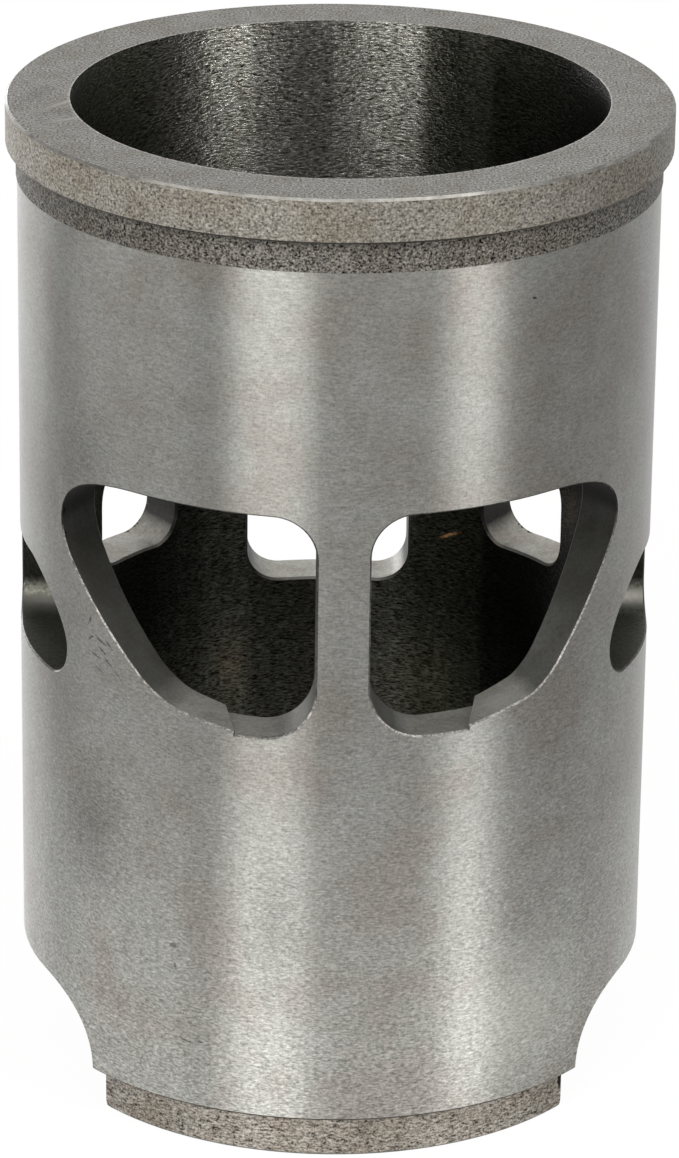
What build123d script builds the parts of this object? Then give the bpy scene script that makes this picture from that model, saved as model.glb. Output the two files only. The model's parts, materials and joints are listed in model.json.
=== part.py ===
from build123d import *
from math import degrees, radians, sqrt, tan
import os

# Cylinder liner of a two-stroke engine: one iron casting, turned and ground all over.
# The frame stands on the foot's rim, with +Z up the bore and the exhaust windows facing -Y.
# Port depths are measured down from the top face, as an engine builder measures them, and
# angles are measured round the bore from the front unless a note says otherwise.

# Turned form
bore_diameter = 66.4
wall = 6.55  # of the ground body
length = 126.3
flange_overhang = 1.4  # beyond the body, all round
flange_thickness = 5.55
collar_overhang = 0.15  # a turned land under the flange, left where the grinding wheel stops
collar_height = 3.9
pilot_step = 2.15  # from the body in to the pilot at the foot
pilot_height = 5.9
edge_break = 0.3  # of the turned rims
lead_in_height = 2.0  # of the cone at the foot that lets the piston rings in
lead_in_angle = 20.0

# Exhaust windows, one each side of the bridge. Their walls fan out from the back of the bore,
# and the angles in this section are measured from the middle plane at that point.
bridge_width = 6.5
left_top_depth = 40.45
right_top_depth = 40.1
top_corner = 5.3  # round of the upper corner beside the bridge
shoulder_start_angle = 21.0  # where the level top ends and the outer shoulder begins to fall
left_shoulder_fullness = 0.6
right_shoulder_fullness = 0.68
left_shoulder_angle = 38.8  # where the top and the leaning side would meet
right_shoulder_angle = 36.6
left_shoulder_fall = 11.8  # depth of the shoulder's curve
right_shoulder_fall = 9.7
left_foot_angle = 18.4  # where the leaning side meets the sill, which slopes down to the slot
right_foot_angle = 20.9
foot_round = 2.6  # height of the round between the leaning side and the sill

# A slot beside the bridge goes deeper than the sill
left_floor_depth = 69.15
right_floor_depth = 68.8
left_foot_rise = 2.55  # from the slot's floor up to the sill's high end
right_foot_rise = 3.2
left_sill_rise = 0.75  # and up to its low end
right_sill_rise = 0.85
left_slot_side = 13.6  # from the middle plane, where it leaves the bore
right_slot_side = 15.9
slot_draft = 8.5  # degrees by which the slot closes in on its way out
slot_bridge_corner = 6.6

# Transfer ports: a large one at each side and a small one behind it, with radial walls
transfer_top_depth = 55.8
transfer_floor_depth = 68.8
transfer_corner = 4.2
side_port_middle = 76.0
side_port_half_angle = 18.3
side_port_brow = 8.6  # height of the long curve at its upper front corner
side_port_brow_angle = 16.5  # degrees that the same curve takes
brow_fullness = 0.43
rear_port_middle = 130.0
rear_port_half_angle = 12.7

# Boost port at the back, cut straight through
boost_width = 21.3
boost_top_depth = 56.5
boost_floor_depth = 76.8
boost_corner = 4.4

# The ports' rims
port_edge_break = 0.2  # on the outside
port_bevel = 0.3  # in the bore, where the piston rings ride over it

# Skirt notches, left and right, with a tongue of skirt between them at the front and back
notch_height = 15.35
notch_half_angle = 39.9
notch_round = 9.4  # height of the large round at the notch's upper corners
notch_round_angle = 17.1  # degrees that the same round takes
tongue_corner = 1.3

# Worked out from the sizes above
bore_radius = bore_diameter / 2
body_radius = bore_radius + wall
flange_radius = body_radius + flange_overhang
collar_radius = body_radius + collar_overhang
pilot_radius = body_radius - pilot_step
flange_bottom = length - flange_thickness
collar_bottom = flange_bottom - collar_height
lead_in_radius = bore_radius + lead_in_height * tan(radians(lead_in_angle))
bridge_side = bridge_width / 2
fan_axis = bore_radius  # y of the upright line that the exhaust windows fan out from
transfer_height = transfer_floor_depth - transfer_top_depth
transfer_round = min(transfer_corner, 0.45 * transfer_height)
transfer_round_angle = degrees(transfer_round / body_radius)
side_brow = min(side_port_brow, 0.98 * (transfer_height - transfer_round))
notch_top_round = min(notch_round, 0.95 * (notch_height - tongue_corner))
touch = 0.01  # closer than this counts as lying on a surface
cutter_start = bore_radius / 4  # cutters begin inside the bore and end clear of the flange
cutter_end = flange_radius + 2
cutter_ends = (cutter_start, cutter_end)
cut = {"ruled": True, "mode": Mode.SUBTRACT}
sill_overrun = 0.85  # the sill's cutter ends inside the slot, at this share of its width
quarter_round = sqrt(0.5)  # fullness at which a corner is part of a circle or an ellipse
left_window = {
    "top": left_top_depth,
    "floor": left_floor_depth,
    "shoulder_angle": left_shoulder_angle,
    "shoulder_fall": left_shoulder_fall,
    "fullness": left_shoulder_fullness,
    "foot_angle": left_foot_angle,
    "foot_rise": left_foot_rise,
    "sill_rise": left_sill_rise,
    "slot_side": left_slot_side,
}
right_window = {
    "top": right_top_depth,
    "floor": right_floor_depth,
    "shoulder_angle": right_shoulder_angle,
    "shoulder_fall": right_shoulder_fall,
    "fullness": right_shoulder_fullness,
    "foot_angle": right_foot_angle,
    "foot_rise": right_foot_rise,
    "sill_rise": right_sill_rise,
    "slot_side": right_slot_side,
}


def height(depth):
    return length - depth


def corner(start, point, end, fullness=quarter_round):
    # Rounds off the corner at point with a smooth curve from start to end
    Bezier(start, point, end, weights=[1, fullness, 1])


def round_from_front(angle, distance):
    # The plane that faces away from the axis, this many degrees round and this far out
    facing = Vector(0, -1, 0).rotate(Axis.Z, angle)
    return Plane(origin=facing * distance, x_dir=Vector(1, 0, 0).rotate(Axis.Z, angle), z_dir=facing)


def window_section(distance, side, window):
    # The window's outline on an upright plane this far in front of the axis
    reach = fan_axis + distance
    top, floor = height(window["top"]), height(window["floor"])
    slot_top = (top + floor) / 2
    foot_height = floor + window["foot_rise"]
    shoulder = reach * tan(radians(window["shoulder_angle"]))
    foot = reach * tan(radians(window["foot_angle"]))
    slot = reach * window["slot_side"] / (bore_radius + fan_axis)
    lean = (shoulder - foot) / (top - foot_height)
    sill_slope = (window["foot_rise"] - window["sill_rise"]) / (foot - slot)
    shoulder_end_height = top - window["shoulder_fall"]
    corner_end = (bridge_side + top_corner, top)
    shoulder_start = (reach * tan(radians(shoulder_start_angle)), top)
    shoulder_end = (foot + lean * (shoulder_end_height - foot_height), shoulder_end_height)
    foot_start = (foot + lean * foot_round, foot_height + foot_round)
    foot_end = (foot - lean * foot_round, foot_height - sill_slope * lean * foot_round)
    sill_end = (sill_overrun * slot, foot_height - sill_slope * (foot - sill_overrun * slot))
    with BuildSketch(round_from_front(0, distance)) as section:
        with BuildLine():
            Line((bridge_side, slot_top), (bridge_side, top - top_corner))
            corner((bridge_side, top - top_corner), (bridge_side, top), corner_end)
            Line(corner_end, shoulder_start)
            corner(shoulder_start, (shoulder, top), shoulder_end, window["fullness"])
            Line(shoulder_end, foot_start)
            corner(foot_start, (foot, foot_height), foot_end)
            Polyline(foot_end, sill_end, (bridge_side, slot_top))
        make_face()
        if side < 0:
            mirror(about=Plane.YZ, mode=Mode.REPLACE)
    return section.sketch


def slot_section(distance, side, window):
    # The outline of the deeper slot on the same plane
    outer = window["slot_side"] - (distance - bore_radius) * tan(radians(slot_draft))
    floor = height(window["floor"])
    slot_top = (height(window["top"]) + floor) / 2
    bridge_end = (bridge_side + slot_bridge_corner, floor)
    with BuildSketch(round_from_front(0, distance)) as section:
        with BuildLine():
            Line((bridge_side, slot_top), (bridge_side, floor + slot_bridge_corner))
            corner((bridge_side, floor + slot_bridge_corner), (bridge_side, floor), bridge_end)
            Polyline(bridge_end, (outer, floor), (outer, slot_top), (bridge_side, slot_top))
        make_face()
        if side < 0:
            mirror(about=Plane.YZ, mode=Mode.REPLACE)
    return section.sketch


def transfer_section(distance, side, middle, half_angle, brow, brow_angle, fullness):
    # A transfer port's outline, drawn with its front to the left and widening with the distance
    top, floor = height(transfer_top_depth), height(transfer_floor_depth)
    half = distance * tan(radians(half_angle))
    run = distance * tan(radians(half_angle - transfer_round_angle))
    brow_run = distance * tan(radians(half_angle - brow_angle))
    with BuildSketch(round_from_front(side * middle, distance)) as section:
        with BuildLine():
            Line((-brow_run, top), (run, top))
            corner((run, top), (half, top), (half, top - transfer_round))
            Line((half, top - transfer_round), (half, floor + transfer_round))
            corner((half, floor + transfer_round), (half, floor), (run, floor))
            Line((run, floor), (-run, floor))
            corner((-run, floor), (-half, floor), (-half, floor + transfer_round))
            Line((-half, floor + transfer_round), (-half, top - brow))
            corner((-half, top - brow), (-half, top), (-brow_run, top), fullness)
        make_face()
        if side < 0:
            mirror(about=Plane.YZ, mode=Mode.REPLACE)
    return section.sketch


def notch_section(distance, side):
    # A skirt notch's outline; it flares at the rim to round the corners of the tongues
    half = distance * tan(radians(notch_half_angle))
    run = distance * tan(radians(notch_half_angle - notch_round_angle))
    rim = half + tongue_corner * distance / body_radius
    with BuildSketch(round_from_front(side * 90, distance)) as section:
        with BuildLine():
            Line((-half, tongue_corner), (-half, notch_height - notch_top_round))
            corner((-half, notch_height - notch_top_round), (-half, notch_height), (-run, notch_height))
            Line((-run, notch_height), (run, notch_height))
            corner((run, notch_height), (half, notch_height), (half, notch_height - notch_top_round))
            Line((half, notch_height - notch_top_round), (half, tongue_corner))
            corner((half, tongue_corner), (half, 0), (rim, 0))
            Polyline((rim, 0), (rim, -tongue_corner), (-rim, -tongue_corner), (-rim, 0))
            corner((-rim, 0), (-half, 0), (-half, tongue_corner))
        make_face()
    return section.sketch


def is_port_rim(edge, radius):
    # Tells the edges that the ports leave on a wall of this radius from the wall's own edges
    points = [edge.position_at(share) for share in (0, 0.5, 1)]
    on_wall = all(abs(Vector(point.X, point.Y).length - radius) < touch for point in points)
    span = edge.bounding_box()
    return on_wall and span.min.Z > notch_height + touch and span.max.Z < collar_bottom - touch


with BuildPart() as cylinder_liner:
    with BuildSketch(Plane.YZ):
        with BuildLine():
            Polyline(
                (lead_in_radius, 0),
                (pilot_radius - edge_break, 0),
                (pilot_radius, edge_break),
                (pilot_radius, pilot_height),
                (body_radius - edge_break, pilot_height),
                (body_radius, pilot_height + edge_break),
                (body_radius, collar_bottom),
                (collar_radius, collar_bottom),
                (collar_radius, flange_bottom),
                (flange_radius - edge_break, flange_bottom),
                (flange_radius, flange_bottom + edge_break),
                (flange_radius, length - edge_break),
                (flange_radius - edge_break, length),
                (bore_radius, length),
                (bore_radius, lead_in_height),
                close=True,
            )
        make_face()
    revolve(axis=Axis.Z)

    for side, window in ((-1, left_window), (1, right_window)):
        loft([window_section(at, side, window) for at in cutter_ends], **cut)
        loft([slot_section(at, side, window) for at in cutter_ends], **cut)

    side_port = (side_port_middle, side_port_half_angle, side_brow, side_port_brow_angle, brow_fullness)
    rear_port = (rear_port_middle, rear_port_half_angle, transfer_round, transfer_round_angle, quarter_round)
    for side in (-1, 1):
        loft([transfer_section(at, side, *side_port) for at in cutter_ends], **cut)
        loft([transfer_section(at, side, *rear_port) for at in cutter_ends], **cut)
        loft([notch_section(at, side) for at in cutter_ends], **cut)

    with BuildSketch(round_from_front(180, cutter_start)):
        with Locations((0, height((boost_top_depth + boost_floor_depth) / 2))):
            RectangleRounded(boost_width, boost_floor_depth - boost_top_depth, boost_corner)
    extrude(amount=cutter_end - cutter_start, mode=Mode.SUBTRACT)

    for radius, width in ((body_radius, port_edge_break), (bore_radius, port_bevel)):
        chamfer(cylinder_liner.edges().filter_by(lambda edge: is_port_rim(edge, radius)), width)

cylinder_liner.part.label = "cylinder_liner"
os.makedirs("parts", exist_ok=True)
export_step(cylinder_liner.part, "parts/cylinder_liner.step")
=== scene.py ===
import json
from math import atan2, cos, degrees, radians
import bmesh
import bpy
from mathutils import Matrix, Vector


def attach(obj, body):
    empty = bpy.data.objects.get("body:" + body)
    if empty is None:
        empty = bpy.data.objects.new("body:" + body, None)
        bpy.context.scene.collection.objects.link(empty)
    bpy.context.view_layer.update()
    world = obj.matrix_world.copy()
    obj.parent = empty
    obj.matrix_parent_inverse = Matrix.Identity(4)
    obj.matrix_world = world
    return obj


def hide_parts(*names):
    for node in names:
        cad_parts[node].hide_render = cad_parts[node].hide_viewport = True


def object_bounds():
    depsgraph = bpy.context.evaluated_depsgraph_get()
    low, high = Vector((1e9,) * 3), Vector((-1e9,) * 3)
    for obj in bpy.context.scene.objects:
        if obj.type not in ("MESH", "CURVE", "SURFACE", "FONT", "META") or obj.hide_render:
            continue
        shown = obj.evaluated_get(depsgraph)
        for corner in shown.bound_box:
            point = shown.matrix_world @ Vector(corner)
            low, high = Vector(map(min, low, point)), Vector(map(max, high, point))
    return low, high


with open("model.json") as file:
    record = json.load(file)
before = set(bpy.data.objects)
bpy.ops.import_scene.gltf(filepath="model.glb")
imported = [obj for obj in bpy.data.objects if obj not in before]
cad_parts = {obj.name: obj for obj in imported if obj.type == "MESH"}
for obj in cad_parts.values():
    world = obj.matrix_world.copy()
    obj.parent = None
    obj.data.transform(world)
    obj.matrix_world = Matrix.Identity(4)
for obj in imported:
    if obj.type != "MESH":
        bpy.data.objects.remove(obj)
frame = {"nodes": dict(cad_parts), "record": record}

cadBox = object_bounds()
mm = 0.001
liner = frame["nodes"]["cylinder_liner"]
mounts = {mount["name"]: mount for mount in frame["record"]["mounts"]}


def linear(hexColour):
    # sRGB hex to the linear colour that Blender works in
    channels = [int(hexColour[i:i + 2], 16) / 255 for i in (1, 3, 5)]
    return [c / 12.92 if c <= 0.04045 else ((c + 0.055) / 1.055) ** 2.4 for c in channels] + [1]


def addNode(tree, kind, inputs=None, **settings):
    # Adds a node, sets its properties, then fills its inputs with values or with other sockets
    node = tree.nodes.new(kind)
    for name, value in settings.items():
        setattr(node, name, value)
    for key, value in (inputs or {}).items():
        if isinstance(value, bpy.types.NodeSocket):
            tree.links.new(value, node.inputs[key])
        else:
            node.inputs[key].default_value = value
    return node


def newMaterial(name):
    material = bpy.data.materials.new(name)
    material.use_nodes = True
    material.node_tree.nodes.clear()
    return material, material.node_tree


# Camera, a long lens a little above the liner
camera = {
    "distance": 664.68 * mm,  # from the liner's axis, along the floor
    "height": 328.52 * mm,
    "turn": -1.7,  # degrees round the liner, to its left
    "pan": -0.055,
    "tilt": 21.814,  # degrees below level
    "roll": 0.743,
    "lens": 175.4,
    "sensor": 36.0,
}
view = bpy.data.cameras.new("camera")
view.lens = camera["lens"]
view.sensor_width = camera["sensor"]
cameraObject = bpy.data.objects.new("camera", view)
bpy.context.scene.collection.objects.link(cameraObject)
around = Matrix.Rotation(radians(camera["turn"]), 4, "Z")
place = Matrix.Translation((0, -camera["distance"], camera["height"]))
aim = (
    Matrix.Rotation(radians(camera["pan"]), 4, "Z")
    @ Matrix.Rotation(radians(90 - camera["tilt"]), 4, "X")
    @ Matrix.Rotation(radians(camera["roll"]), 4, "Z")
)
cameraObject.matrix_world = around @ place @ aim
bpy.context.scene.camera = cameraObject
bpy.context.scene.view_settings.view_transform = "Standard"
print("camera placed")


# Where the liner's walls are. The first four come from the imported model.
walls = {
    "bore": mounts["bore"]["dims"]["r_mm"] * mm,
    "body": mounts["body"]["dims"]["r_mm"] * mm,
    "top": cadBox[1].z,
    "flangeSeat": mounts["flange_seat"]["pos_m"][2],
    "landHeight": 3.9 * mm,
    "pilotHeight": 5.9 * mm,
    "pilotInset": 2.15 * mm,  # how far the pilot stands back from the body
    "near": 0.06 * mm,  # closer than this to a wall counts as on it
    "edge": 0.4 * mm,  # no broken edge is wider than this
    "weld": 0.001 * mm,  # corners closer than this are joined
    "postAngle": 55,  # degrees from the front to the post between window and side port, at its foot
    "postFoot": 57 * mm,
    "postLean": 0.45,  # degrees further round for each mm up
    "sidePortBack": 98,  # degrees from the front to the post behind the side port
}

# How far a face's normal leans, as its part straight up or straight out from the axis
leans = {"level": 0.99, "upright": 0.01, "radial": 0.998, "underside": -0.4}


def onWall(radius, angle, height):
    # A point on an upright wall, this many degrees round from the front
    return Matrix.Rotation(radians(angle), 4, "Z") @ Vector((0, -radius, height))


# How the noise behind every finish is built up, and where its patches start and are full
fineNoise = {"Detail": 2.0, "Roughness": 0.6}
lineNoise = {"Detail": 2.0, "Roughness": 0.7}
patchNoise = {"Detail": 3.0, "Roughness": 0.6}
patchLimits = {"From Min": 0.42, "From Max": 0.62}


def addMark(tree, position, wobble, colour, mark):
    # Lays one oval mark, such as a pit, scratch or smudge, over the colour.
    # Returns the new colour, and how much of the mark shows at each point.
    place = addNode(tree, "ShaderNodeMapping", {
        "Vector": position,
        "Location": mark["at"],
        "Rotation": (0, radians(mark.get("tilt", 0)), radians(mark.get("turn", 0))),
        "Scale": [0.5 * mm * side for side in mark["size"]],
    }, vector_type="TEXTURE")
    away = addNode(tree, "ShaderNodeVectorMath", {0: place.outputs[0]}, operation="LENGTH").outputs["Value"]
    ragged = addNode(tree, "ShaderNodeMath", {
        0: wobble, 1: mark.get("ragged", 1.0), 2: away,
    }, operation="MULTIPLY_ADD").outputs[0]
    inside = addNode(tree, "ShaderNodeMapRange", {
        "Value": ragged,
        "From Min": 1.0,
        "From Max": 1.0 - mark.get("soft", 0.4),
        "To Max": mark.get("strength", 1.0),
    }).outputs[0]
    marked = addNode(tree, "ShaderNodeMix", {
        0: inside, 6: colour, 7: linear(mark["colour"]),
    }, data_type="RGBA", blend_type=mark.get("blend", "MIX")).outputs[2]
    return marked, inside


def addShade(tree, position, colour, shade):
    # Scales the colour from "before" at the shade's start to "after" at its end, where the measure
    # is the height, how far a face looks up, or degrees round the axis from the shade's middle
    if shade["along"] == "round":
        flat = addNode(tree, "ShaderNodeVectorMath", {
            0: position, 1: (1, 1, 0),
        }, operation="MULTIPLY").outputs[0]
        outward = addNode(tree, "ShaderNodeVectorMath", {0: flat}, operation="NORMALIZE").outputs[0]
        measure = addNode(tree, "ShaderNodeVectorMath", {
            0: outward, 1: onWall(1, shade["middle"], 0),
        }, operation="DOT_PRODUCT").outputs["Value"]
        start, end = cos(radians(shade["start"])), cos(radians(shade["end"]))
    else:
        source = position
        if shade["along"] == "facing":
            source = addNode(tree, "ShaderNodeNewGeometry").outputs["Normal"]
        measure = addNode(tree, "ShaderNodeSeparateXYZ", {0: source}).outputs["Z"]
        start, end = shade["start"], shade["end"]
    amount = addNode(tree, "ShaderNodeMapRange", {
        "Value": measure, "From Min": start, "From Max": end,
    }).outputs[0]
    if "fade" in shade:  # the shade grows from none at the first height to full at the second
        height = addNode(tree, "ShaderNodeSeparateXYZ", {0: position}).outputs["Z"]
        share = addNode(tree, "ShaderNodeMapRange", {
            "Value": height, "From Min": shade["fade"][0], "From Max": shade["fade"][1],
        }).outputs[0]
        amount = addNode(tree, "ShaderNodeMath", {0: amount, 1: share}, operation="MULTIPLY").outputs[0]
    before, after = [Vector((1, 1, 1)) * shade.get(key, 1.0) for key in ("before", "after")]
    if "tint" in shade:
        after = after * Vector(linear(shade["tint"])[:3])
    level = addNode(tree, "ShaderNodeMix", {0: amount, 4: before, 5: after}, data_type="VECTOR").outputs[1]
    return addNode(tree, "ShaderNodeVectorMath", {0: colour, 1: level}, operation="MULTIPLY").outputs[0]


def addCrinkle(tree, position, colour, crinkle):
    # Fine handling marks round the axis, some lighter and some darker, stronger towards the foot
    drawnOut = addNode(tree, "ShaderNodeVectorMath", {
        0: position, 1: (crinkle["stretch"], crinkle["stretch"], 1),
    }, operation="MULTIPLY").outputs[0]
    noise = addNode(tree, "ShaderNodeTexNoise", {
        "Vector": drawnOut, "Scale": 1 / crinkle["size"], **fineNoise,
    }).outputs["Fac"]
    height = addNode(tree, "ShaderNodeSeparateXYZ", {0: position}).outputs["Z"]
    contrast = addNode(tree, "ShaderNodeMapRange", {
        "Value": height, "From Max": crinkle["top"], "To Min": crinkle["contrast"], "To Max": 0.0,
    }).outputs[0]
    signed = addNode(tree, "ShaderNodeMath", {0: noise, 1: 0.5}, operation="SUBTRACT").outputs[0]
    level = addNode(tree, "ShaderNodeMath", {
        0: signed, 1: contrast, 2: 1.0,
    }, operation="MULTIPLY_ADD").outputs[0]
    return addNode(tree, "ShaderNodeVectorMath", {0: colour, "Scale": level}, operation="SCALE").outputs[0]


def castIron(name, finish):
    # Cast iron is a grey metal with dark graphite in it, so every cut face is finely speckled.
    # Turning and grinding leave lines round the axis, which draw a highlight out along the axis.
    # Graphite flakes are 0.05 to 0.3 mm long, and the speckle is drawn at the coarse end to show.
    # Ground and honed lines are some 0.02 mm apart, and are drawn ten times as coarse to show.
    material, tree = newMaterial(name + "CastIron")
    position = addNode(tree, "ShaderNodeTexCoord").outputs["Object"]
    lineSpace = addNode(tree, "ShaderNodeVectorMath", {
        0: position, 1: (finish["lineStretch"], finish["lineStretch"], 1),
    }, operation="MULTIPLY").outputs[0]
    grain = addNode(tree, "ShaderNodeTexNoise", {
        "Vector": position, "Scale": 1 / finish["grain"], **fineNoise,
    }).outputs["Fac"]
    lines = addNode(tree, "ShaderNodeTexNoise", {
        "Vector": lineSpace, "Scale": 1 / finish["line"], **lineNoise,
    }).outputs["Fac"]
    patches = addNode(tree, "ShaderNodeTexNoise", {
        "Vector": position, "Scale": 1 / finish["patch"], **patchNoise,
    }).outputs["Fac"]
    both = addNode(tree, "ShaderNodeMix", {0: finish["lineShare"], 2: grain, 3: lines}).outputs[0]
    speckle = addNode(tree, "ShaderNodeMapRange", {
        "Value": both,
        "From Min": finish["middle"] - finish["softness"],
        "From Max": finish["middle"] + finish["softness"],
    }).outputs[0]
    stained = addNode(tree, "ShaderNodeMapRange", {
        "Value": patches, **patchLimits, "To Max": finish["stain"],
    }).outputs[0]
    metal = addNode(tree, "ShaderNodeMix", {
        0: speckle, 6: linear(finish["dark"]), 7: linear(finish["light"]),
    }, data_type="RGBA").outputs[2]
    colour = addNode(tree, "ShaderNodeMix", {
        0: stained, 6: metal, 7: linear(finish["tint"]),
    }, data_type="RGBA", blend_type="MULTIPLY").outputs[2]
    if "rimGlintWidth" in finish:  # a painted highlight: a bright, uneven line where the face meets the bore
        flat = addNode(tree, "ShaderNodeVectorMath", {
            0: position, 1: (1, 1, 0),
        }, operation="MULTIPLY").outputs[0]
        radius = addNode(tree, "ShaderNodeVectorMath", {0: flat}, operation="LENGTH").outputs["Value"]
        rim = addNode(tree, "ShaderNodeMapRange", {
            "Value": radius, "From Min": walls["bore"] + finish["rimGlintWidth"], "From Max": walls["bore"],
        }).outputs[0]
        rimGlint = addNode(tree, "ShaderNodeMath", {0: rim, 1: speckle}, operation="MULTIPLY").outputs[0]
        colour = addNode(tree, "ShaderNodeMix", {
            0: rimGlint, 6: colour, 7: linear(finish["rimGlintColour"]),
        }, data_type="RGBA").outputs[2]
    for shade in finish.get("shades", []):
        colour = addShade(tree, position, colour, shade)
    if "crinkle" in finish:
        colour = addCrinkle(tree, position, colour, finish["crinkle"])
    wobble = addNode(tree, "ShaderNodeMath", {0: both, 1: 0.5}, operation="SUBTRACT").outputs[0]
    for mark in finish.get("marks", []):
        colour = addMark(tree, position, wobble, colour, mark)[0]
    roughness = addNode(tree, "ShaderNodeMapRange", {
        "Value": speckle,
        "To Min": finish["roughness"] + finish["roughSpread"],
        "To Max": finish["roughness"] - finish["roughSpread"],
    }).outputs[0]
    if "soot" in finish:  # soot dulls the wall the lower it is
        height = addNode(tree, "ShaderNodeSeparateXYZ", {0: position}).outputs["Z"]
        dull = addNode(tree, "ShaderNodeMapRange", {
            "Value": height,
            "From Min": finish["soot"]["start"],
            "From Max": finish["soot"]["end"],
            "To Max": finish["soot"]["dull"],
        }).outputs[0]
        roughness = addNode(tree, "ShaderNodeMath", {0: roughness, 1: dull}, operation="ADD").outputs[0]
    bump = addNode(tree, "ShaderNodeBump", {"Height": both, "Distance": finish["depth"], "Strength": 1.0})
    around = addNode(tree, "ShaderNodeVectorMath", {0: (0, 0, 1), 1: position}, operation="CROSS_PRODUCT")
    shader = addNode(tree, "ShaderNodeBsdfPrincipled", {
        "Base Color": colour,
        "Metallic": 1.0,
        "Roughness": roughness,
        "Anisotropic": finish["anisotropy"],
        "Anisotropic Rotation": 0.25,
        "Tangent": around.outputs[0],
        "Normal": bump.outputs[0],
    })
    if "rust" in finish:  # rust is matt, so it shows orange where the metal round it is dark
        rusty, inside = addMark(tree, position, wobble, colour, finish["rust"])
        matt = addNode(tree, "ShaderNodeMath", {0: 1.0, 1: inside}, operation="SUBTRACT").outputs[0]
        tree.links.new(rusty, shader.inputs["Base Color"])
        tree.links.new(matt, shader.inputs["Metallic"])
    addNode(tree, "ShaderNodeOutputMaterial", {"Surface": shader.outputs[0]})
    return material


def scratch(angle, height, long, wide, tilt, strength=0.6, colour="#3a3836"):
    # One mark on the ground wall; the tilt is from level
    return {
        "at": onWall(walls["body"], angle, height * mm), "turn": angle, "tilt": tilt, "size": (long, 2, wide),
        "strength": strength, "soft": 0.5, "ragged": 2.0, "colour": colour,
    }


def smudge(angle, height, wide, tall, strength):
    # One large soft stain on the ground wall
    return {
        "at": onWall(walls["body"], angle, height * mm), "turn": angle, "size": (wide, 8, tall),
        "strength": strength, "soft": 1.0, "blend": "MULTIPLY", "colour": "#8d8a86",
    }


# Cylindrically ground: satin, with fine lines round it, faint brown stains, a few pits and short
# scratches, and handled marks that grow towards the foot
groundWall = {
    "dark": "#464643", "light": "#8f8f8a", "tint": "#dccac4", "stain": 0.42,
    "grain": 0.3 * mm, "line": 0.24 * mm, "lineStretch": 0.28, "lineShare": 0.55, "patch": 13 * mm,
    "middle": 0.5, "softness": 0.34, "roughness": 0.36, "roughSpread": 0.04, "anisotropy": 0.86,
    "depth": 0.013 * mm,
    "shades": [{"along": "height", "start": 62 * mm, "end": 14 * mm, "after": 1.72}],  # painted light: paler towards the foot
    "crinkle": {"size": 0.24 * mm, "stretch": 0.4, "top": 85 * mm, "contrast": 2.4},
    "marks": [
        scratch(34.2, 111.5, 0.9, 0.45, 20, strength=1.0, colour="#232220"),  # pits
        scratch(-30.9, 27.4, 1.5, 0.7, 10),
        scratch(-30.4, 24.7, 1.2, 0.5, 80),
        scratch(-27.8, 14.7, 2.6, 0.3, 12),  # near the foot
        scratch(-25.4, 14.9, 1.4, 0.3, -8),
        scratch(14.6, 94.1, 2.6, 0.3, -14, strength=0.3),  # faint, above the right window
        scratch(17.3, 93.2, 2.2, 0.25, 8, strength=0.25),
        scratch(-50.3, 67.2, 1.8, 0.5, -62, strength=0.8),  # a rough place left of the left window
        scratch(-50.0, 65.0, 1.6, 0.45, -40, strength=0.8),
        scratch(-47.6, 65.1, 2.4, 0.4, 24, strength=0.8),
        scratch(-49.0, 62.9, 2.6, 0.4, 14, strength=0.7),
        scratch(-47.0, 63.8, 2.2, 0.3, 30, strength=0.8),
        scratch(-45.6, 62.6, 2.6, 0.35, 34, strength=0.7),
        scratch(-44.5, 66.8, 2.2, 0.35, 18, strength=0.7),
        scratch(-45.2, 64.9, 2.0, 0.3, 38, strength=0.7),
        scratch(-47.8, 61.2, 2.4, 0.3, 20, strength=0.6),
        scratch(-43.2, 61.4, 1.8, 0.3, 44, strength=0.6),
        smudge(-50, 40, 15, 24, 0.5), smudge(-12, 32, 8, 26, 0.4), smudge(-52, 88, 14, 16, 0.4),
        {"at": onWall(walls["body"], 37, 17 * mm), "turn": 37, "size": (24, 10, 26), "soft": 1.0,
         "blend": "SCREEN", "colour": "#66665f"},  # painted highlight: a paler place at the foot
        scratch(72.2, 58.4, 0.9, 0.5, 40, strength=1.0, colour="#1b1a18"),  # chip beside the right port
    ],
}

# Turned with a coarse feed and darkened by oil and air: grainy, beige to grey
turnedFlange = {
    "dark": "#12100d", "light": "#8b877f", "tint": "#dfd2c3", "stain": 0.45,
    "grain": 0.3 * mm, "line": 0.3 * mm, "lineStretch": 0.5, "lineShare": 0.4, "patch": 7 * mm,
    "middle": 0.5, "softness": 0.19, "roughness": 0.58, "roughSpread": 0.08, "anisotropy": 0.1,
    "depth": 0.035 * mm,
    "shades": [{"along": "round", "middle": -95, "start": 78, "end": 18, "after": 1.5}],  # painted light: paler on its left
}

# The land the grinding wheel doesn't reach: rough, dark, with bright specks
turnedLand = {
    "dark": "#090806", "light": "#8a867f", "tint": "#d9d0c4", "stain": 0.4,
    "grain": 0.28 * mm, "line": 0.28 * mm, "lineStretch": 0.6, "lineShare": 0.4, "patch": 8 * mm,
    "middle": 0.565, "softness": 0.18, "roughness": 0.55, "roughSpread": 0.12, "anisotropy": 0.1,
    "depth": 0.045 * mm,
    "shades": [{  # painted shadow in the corner under the flange
        "along": "height", "start": walls["flangeSeat"] - 1.6 * mm, "end": walls["flangeSeat"],
        "after": 0.55,
    }],
}

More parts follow.
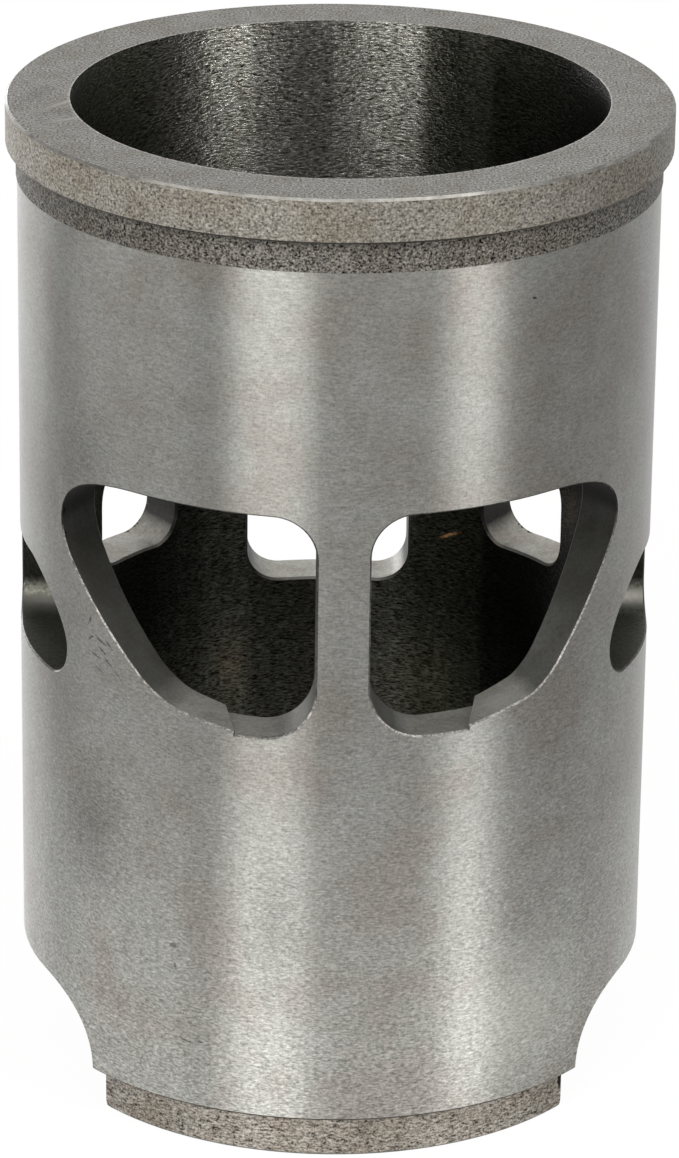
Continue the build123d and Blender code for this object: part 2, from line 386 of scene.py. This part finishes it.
# Faced and lapped: even grey with a fine grain, smudged by fingers on its left
facedTop = {
    "dark": "#2c2b27", "light": "#a4a29b", "tint": "#d6c9bd", "stain": 0.5,
    "grain": 0.3 * mm, "line": 0.3 * mm, "lineStretch": 1.0, "lineShare": 0.4, "patch": 4 * mm,
    "middle": 0.49, "softness": 0.165, "roughness": 0.45, "roughSpread": 0.08, "anisotropy": 0.2,
    "depth": 0.01 * mm,
    # A painted highlight along the rim of the bore
    "rimGlintWidth": 0.25 * mm, "rimGlintColour": "#d8d6d0",
    "marks": [
        {"at": (-37.4 * mm, 0, walls["top"]), "turn": 62, "size": (13, 4, 2), "soft": 1.0, "strength": 0.45,
         "blend": "MULTIPLY", "colour": "#8a8886"},
        {"at": (-34.3 * mm, -7 * mm, walls["top"]), "turn": 35, "size": (9, 3, 2), "soft": 1.0,
         "strength": 0.4, "blend": "MULTIPLY", "colour": "#868482"},
        {"at": (-33.2 * mm, -2.5 * mm, walls["top"]), "turn": 48, "size": (11, 1.1, 2), "soft": 0.9,
         "ragged": 3.5, "strength": 0.45, "colour": "#bab8b2"},
        {"at": (-32.6 * mm, -9.6 * mm, walls["top"]), "turn": 30, "size": (8, 0.9, 2), "soft": 0.9,
         "ragged": 3.5, "strength": 0.4, "colour": "#bab8b2"},
    ],
}

# Honed: dark between two soft streaks of light, full of fine bright flecks round the bore. Painted highlights
# brighten the streaks, and painted shade darkens the bore level with the ports and on the right at the back.
honedBore = {
    "dark": "#12120d", "light": "#807f79", "tint": "#cdc3b6", "stain": 0.4,
    "grain": 0.25 * mm, "line": 0.21 * mm, "lineStretch": 0.28, "lineShare": 0.88, "patch": 2.5 * mm,
    "middle": 0.52, "softness": 0.16, "roughness": 0.28, "roughSpread": 0.1, "anisotropy": 0.9,
    "depth": 0.15 * mm,
    "soot": {"start": 92 * mm, "end": 66 * mm, "dull": 0.3},
    "shades": [
        # Painted highlights: two streaks of lamp light brightened
        {"along": "round", "middle": -155.5, "start": 7.5, "end": 4.5, "after": 1.5},
        {"along": "round", "middle": -142, "start": 8, "end": 4, "after": 1.15},
        # A slightly darker, greener tone on the left
        {"along": "round", "middle": -112, "start": 28, "end": 18, "tint": "#f6fbea"},
        # Painted shade on the right side, with painted lighter bands in it: its edge is sharper above the
        # ports than level with them and below
        {"along": "round", "middle": 90, "start": 71, "end": 68, "after": 0.34, "tint": "#fafdf2",
         "fade": (62 * mm, 75 * mm)},
        {"along": "round", "middle": 90, "start": 61.5, "end": 58, "after": 1.6, "fade": (62 * mm, 75 * mm)},
        {"along": "round", "middle": 90, "start": 74, "end": 68, "after": 0.62, "tint": "#fafdf2",
         "fade": (75 * mm, 62 * mm)},
        {"along": "round", "middle": 90, "start": 68, "end": 62, "after": 1.3, "fade": (75 * mm, 62 * mm)},
        {"along": "round", "middle": 90, "start": 54, "end": 51, "after": 0.5},
        # Painted shade level with the ports, and painted light towards the foot
        {"along": "height", "start": 94 * mm, "end": 60 * mm, "after": 0.2, "tint": "#fafdf2"},
        {"along": "height", "start": 50 * mm, "end": 26 * mm, "after": 2.6},
    ],
    "marks": [
        {"at": onWall(walls["bore"], -157, 38 * mm), "turn": -157, "size": (11, 9, 18), "soft": 1.0,
         "blend": "DODGE", "colour": "#bfb0a2"},  # a paler, browner place on the left
        # Painted light: a paler place on the right, behind the right window
        {"at": onWall(walls["bore"], 156, 36 * mm), "turn": 156, "size": (18, 9, 22), "soft": 1.0,
         "blend": "DODGE", "colour": "#c2bdb4"},
        {"at": onWall(walls["bore"], 112.5, 67.5 * mm), "turn": 112.5, "tilt": 60, "size": (6, 3, 3.4),
         "soft": 0.2, "ragged": 12.0, "strength": 0.8, "colour": "#62584c"},
    ],
    "rust": {"at": onWall(walls["bore"], 151.3, 57.1 * mm), "turn": 151.3, "tilt": 24, "size": (3.4, 2, 0.6),
             "soft": 0.9, "ragged": 2.5, "colour": "#8f6436"},
}

# Milled ports: satin, with painted shade on their upright walls and higher up, and grey where they face up
milledPort = {
    "dark": "#85857e", "light": "#c1c0b9", "tint": "#cbc8c2", "stain": 0.5,
    "grain": 0.4 * mm, "line": 0.4 * mm, "lineStretch": 0.6, "lineShare": 0.5, "patch": 5 * mm,
    "middle": 0.5, "softness": 0.3, "roughness": 0.5, "roughSpread": 0.05, "anisotropy": 0.0,
    "depth": 0.012 * mm,
    "shades": [
        {"along": "facing", "start": 0.83, "end": 0.97, "before": 0.35},
        {"along": "height", "start": 66 * mm, "end": 80 * mm, "after": 0.35},
    ],
    "marks": [
        {"at": onWall(walls["body"] - 3 * mm, 29, 61.5 * mm), "turn": 29, "size": (9, 9, 6), "soft": 0.6,
         "blend": "SCREEN", "colour": "#7a7571"},  # painted light: the right window's sill made paler
    ],
}

# The rear transfers have painted shade on their walls down to their floors, which stay pale, and more painted
# shade higher up
rearPort = {
    **milledPort,
    "tint": "#cdbfb6",
    "shades": [
        {"along": "facing", "start": 0.4, "end": 0.98, "before": 0.05},
        {"along": "height", "start": 62 * mm, "end": 72 * mm, "after": 0.6},
    ],
}

# The side transfers are darker, with painted shade higher up and a painted highlight band across each
sidePort = {
    "dark": "#34352f", "light": "#5e5e57", "tint": "#cfcbc4", "stain": 0.5,
    "grain": 0.5 * mm, "line": 0.5 * mm, "lineStretch": 1.0, "lineShare": 0.3, "patch": 5 * mm,
    "middle": 0.5, "softness": 0.25, "roughness": 0.5, "roughSpread": 0.05, "anisotropy": 0.0,
    "depth": 0.006 * mm,
    "shades": [{"along": "height", "start": 60 * mm, "end": 61.5 * mm, "after": 0.15}],
    # Painted highlight: a pale band across each port
    "marks": [
        {"at": onWall(walls["body"] - 2 * mm, side * 94, height), "turn": side * 94, "size": (16, 16, 2.2),
         "soft": 1.0, "colour": colour}
        for side, height, colour in ((-1, 58.6 * mm, "#595853"), (1, 59.2 * mm, "#7b7973"))
    ],
}

# Edges broken with a file: painted glints here and there where they face up at the front, and painted
# shade higher up and round the sides and back
brokenEdge = {
    "dark": "#55534f", "light": "#b4b1ab", "tint": "#ffffff", "stain": 0.0,
    "grain": 0.25 * mm, "line": 0.6 * mm, "lineStretch": 1.0, "lineShare": 0.5, "patch": 10 * mm,
    "middle": 0.58, "softness": 0.16, "roughness": 0.4, "roughSpread": 0.05, "anisotropy": 0.0,
    "depth": 0.02 * mm,
    "shades": [
        {"along": "facing", "start": 0.05, "end": 0.35, "before": 0.45},
        {"along": "height", "start": 66 * mm, "end": 74 * mm, "after": 0.65},
        {"along": "round", "middle": 0, "start": 60, "end": 50, "before": 0.25},
    ],
}

# The flange's top edge, with a painted highlight at the front and painted shade at the sides
flangeEdgeGlint = {
    "dark": "#65635e", "light": "#c2bfb8", "tint": "#ffffff", "stain": 0.0,
    "grain": 0.4 * mm, "line": 1.2 * mm, "lineStretch": 0.4, "lineShare": 0.7, "patch": 10 * mm,
    "middle": 0.5, "softness": 0.24, "roughness": 0.45, "roughSpread": 0.05, "anisotropy": 0.0,
    "depth": 0.01 * mm,
    "shades": [{"along": "round", "middle": -4, "start": 36, "end": 24, "before": 0.5}],
}

# Undersides of the steps, painted dark as shade: a thin dark line under each
shadedStep = {
    "dark": "#2a2925", "light": "#5a5751", "tint": "#d9ccc0", "stain": 0.4,
    "grain": 0.5 * mm, "line": 0.4 * mm, "lineStretch": 0.5, "lineShare": 0.4, "patch": 8 * mm,
    "middle": 0.5, "softness": 0.2, "roughness": 0.6, "roughSpread": 0.05, "anisotropy": 0.0,
    "depth": 0.02 * mm,
}

# Turned pilot: brown-grey and rough, with pale specks drawn out round it
turnedPilot = {
    "dark": "#1a1611", "light": "#b8b2a8", "tint": "#dbcdbf", "stain": 0.5,
    "grain": 0.28 * mm, "line": 0.26 * mm, "lineStretch": 0.35, "lineShare": 0.6, "patch": 9 * mm,
    "middle": 0.53, "softness": 0.17, "roughness": 0.5, "roughSpread": 0.1, "anisotropy": 0.4,
    "depth": 0.045 * mm,
    "shades": [{  # painted shadow in the corner under the skirt
        "along": "height", "start": walls["pilotHeight"] - 1.2 * mm, "end": walls["pilotHeight"],
        "after": 0.6,
    }],
    "marks": [
        {"at": onWall(walls["body"] - walls["pilotInset"], 49.7, 3.9 * mm), "turn": 49.7,
         "size": (1.1, 3, 3), "colour": "#0c0b0a"},  # a dark spot of painted shadow near the corner under the skirt
    ],
}

finishes = {
    "groundWall": groundWall,
    "turnedFlange": turnedFlange,
    "turnedLand": turnedLand,
    "facedTop": facedTop,
    "honedBore": honedBore,
    "milledPort": milledPort,
    "rearPort": rearPort,
    "sidePort": sidePort,
    "brokenEdge": brokenEdge,
    "flangeEdgeGlint": flangeEdgeGlint,
    "shadedStep": shadedStep,
    "turnedPilot": turnedPilot,
}


def finishOf(face):
    # Which finish a face of the liner has, from where it lies and where it faces
    middle, normal = face.calc_center_median(), face.normal
    radius = middle.xy.length
    level = abs(normal.z) > leans["level"]
    upright = abs(normal.z) < leans["upright"]
    radial = upright and abs(normal.xy.normalized().dot(middle.xy.normalized())) > leans["radial"]
    steps = [walls["flangeSeat"], walls["flangeSeat"] - walls["landHeight"], walls["pilotHeight"]]
    if normal.z < leans["underside"] and any(abs(middle.z - step) < walls["edge"] for step in steps):
        return "shadedStep"
    if middle.z < walls["pilotHeight"] + walls["near"] and (radial or level or radius < walls["bore"]):
        return "turnedPilot"
    if level and middle.z > walls["top"] - walls["near"]:
        return "facedTop"
    if middle.z > walls["flangeSeat"] - walls["near"] and radius > walls["body"]:
        return "turnedFlange" if upright or level else "flangeEdgeGlint"
    if radial and radius < walls["bore"] + walls["near"]:
        return "honedBore"
    if radial and radius > walls["body"] + walls["near"]:
        return "turnedLand"
    if radial and radius > walls["body"] - walls["near"]:
        return "groundWall"
    if radius > walls["body"] - walls["edge"]:
        return "brokenEdge"
    fromFront = degrees(atan2(abs(middle.x), -middle.y))
    if fromFront > walls["sidePortBack"]:
        return "rearPort"
    post = walls["postAngle"] + walls["postLean"] * (middle.z - walls["postFoot"]) / mm
    return "sidePort" if fromFront > post else "milledPort"


def makeSkin():
    # A copy of the liner with each face in its own finish; the CAD node stays where it is, hidden
    source = liner.data
    normals = [corner.vector.copy() for corner in source.corner_normals]
    names = list(finishes)
    shell = bmesh.new()
    shell.from_mesh(source)
    bmesh.ops.remove_doubles(shell, verts=shell.verts, dist=walls["weld"])
    for face in shell.faces:
        face.smooth = True
        face.material_index = names.index(finishOf(face))
    mesh = bpy.data.meshes.new("linerSkin")
    shell.to_mesh(mesh)
    shell.free()
    if len(normals) == len(mesh.loops):  # smooth and sharp stay as they are in the CAD node
        mesh.normals_split_custom_set(normals)
    for name in names:
        mesh.materials.append(castIron(name, finishes[name]))
    skin = bpy.data.objects.new("linerSkin", mesh)
    bpy.context.scene.collection.objects.link(skin)
    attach(skin, "root")
    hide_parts("cylinder_liner")


makeSkin()
print("liner finished")


# Studio: a pale floor, a white surround, two tall soft lamps, and three low ones that light the
# liner's outside and hardly reach into its bore
studio = {
    "floorRadius": 2500 * mm,
    "floorSides": 96,
    "floor": "#f2f1ee",
    "floorRoughness": 0.9,
    "floorWhite": 0.95,  # share of plain white in what is seen of the floor; the rest takes the shadow
    "surround": 0.6,  # light that reaches matt surfaces
    "lampDistance": 1300 * mm,
    "lamps": {  # angles are degrees round from the front
        "leftLamp": {"angle": -24.0, "width": 610 * mm, "bottom": 90 * mm, "tall": 1010 * mm, "power": 25.0},
        "rightLamp": {"angle": 47.0, "width": 370 * mm, "bottom": 90 * mm, "tall": 1350 * mm, "power": 23.0},
        "frontFill": {"angle": 12.0, "width": 700 * mm, "bottom": 10 * mm, "tall": 250 * mm, "power": 1.9},
        "leftFill": {"angle": -77.0, "width": 1300 * mm, "bottom": 10 * mm, "tall": 250 * mm, "power": 5.2},
        "backFill": {"angle": -142.0, "width": 1000 * mm, "bottom": 10 * mm, "tall": 250 * mm, "power": 6.0},
    },
}


def seenRays(tree):
    # 1 where the camera, a reflection or glass sees this surface, 0 where it only gives light
    path = addNode(tree, "ShaderNodeLightPath")
    seen = addNode(tree, "ShaderNodeMath", {
        0: path.outputs["Is Camera Ray"],
        1: path.outputs["Is Glossy Ray"],
    }, operation="ADD")
    return addNode(tree, "ShaderNodeMath", {
        0: seen.outputs[0],
        1: path.outputs["Is Transmission Ray"],
    }, operation="ADD", use_clamp=True).outputs[0]


def makeFloor():
    bpy.ops.mesh.primitive_circle_add(
        vertices=studio["floorSides"], radius=studio["floorRadius"], fill_type="NGON",
    )
    floor = bpy.context.object
    floor.name = "floor"
    material, tree = newMaterial("paleStudioFloor")
    matt = addNode(tree, "ShaderNodeBsdfPrincipled", {
        "Base Color": linear(studio["floor"]),
        "Roughness": studio["floorRoughness"],
    })
    glow = addNode(tree, "ShaderNodeEmission", {"Color": (1, 1, 1, 1), "Strength": 1.0})
    share = addNode(tree, "ShaderNodeMath", {
        0: seenRays(tree), 1: studio["floorWhite"],
    }, operation="MULTIPLY")
    mix = addNode(tree, "ShaderNodeMixShader", {
        0: share.outputs[0], 1: matt.outputs[0], 2: glow.outputs[0],
    })
    addNode(tree, "ShaderNodeOutputMaterial", {"Surface": mix.outputs[0]})
    floor.data.materials.append(material)


def makeSurround():
    world = bpy.data.worlds.new("surround")
    world.use_nodes = True
    tree = world.node_tree
    tree.nodes.clear()
    level = addNode(tree, "ShaderNodeMapRange", {
        "Value": seenRays(tree), "To Min": studio["surround"], "To Max": 1.0,
    })
    background = addNode(tree, "ShaderNodeBackground", {
        "Color": (1, 1, 1, 1), "Strength": level.outputs[0],
    })
    addNode(tree, "ShaderNodeOutputWorld", {"Surface": background.outputs[0]})
    bpy.context.scene.world = world


def addLamp(name, lamp):
    light = bpy.data.lights.new(name, "AREA")
    light.shape = "RECTANGLE"
    light.size = lamp["width"]
    light.size_y = lamp["tall"]
    light.energy = lamp["power"]
    lampObject = bpy.data.objects.new(name, light)
    bpy.context.scene.collection.objects.link(lampObject)
    lampObject.location = onWall(studio["lampDistance"], lamp["angle"], lamp["bottom"] + lamp["tall"] / 2)
    lampObject.rotation_euler = (radians(90), 0, radians(lamp["angle"]))


makeFloor()
makeSurround()
for lampName, lamp in studio["lamps"].items():
    addLamp(lampName, lamp)
print("studio ready")
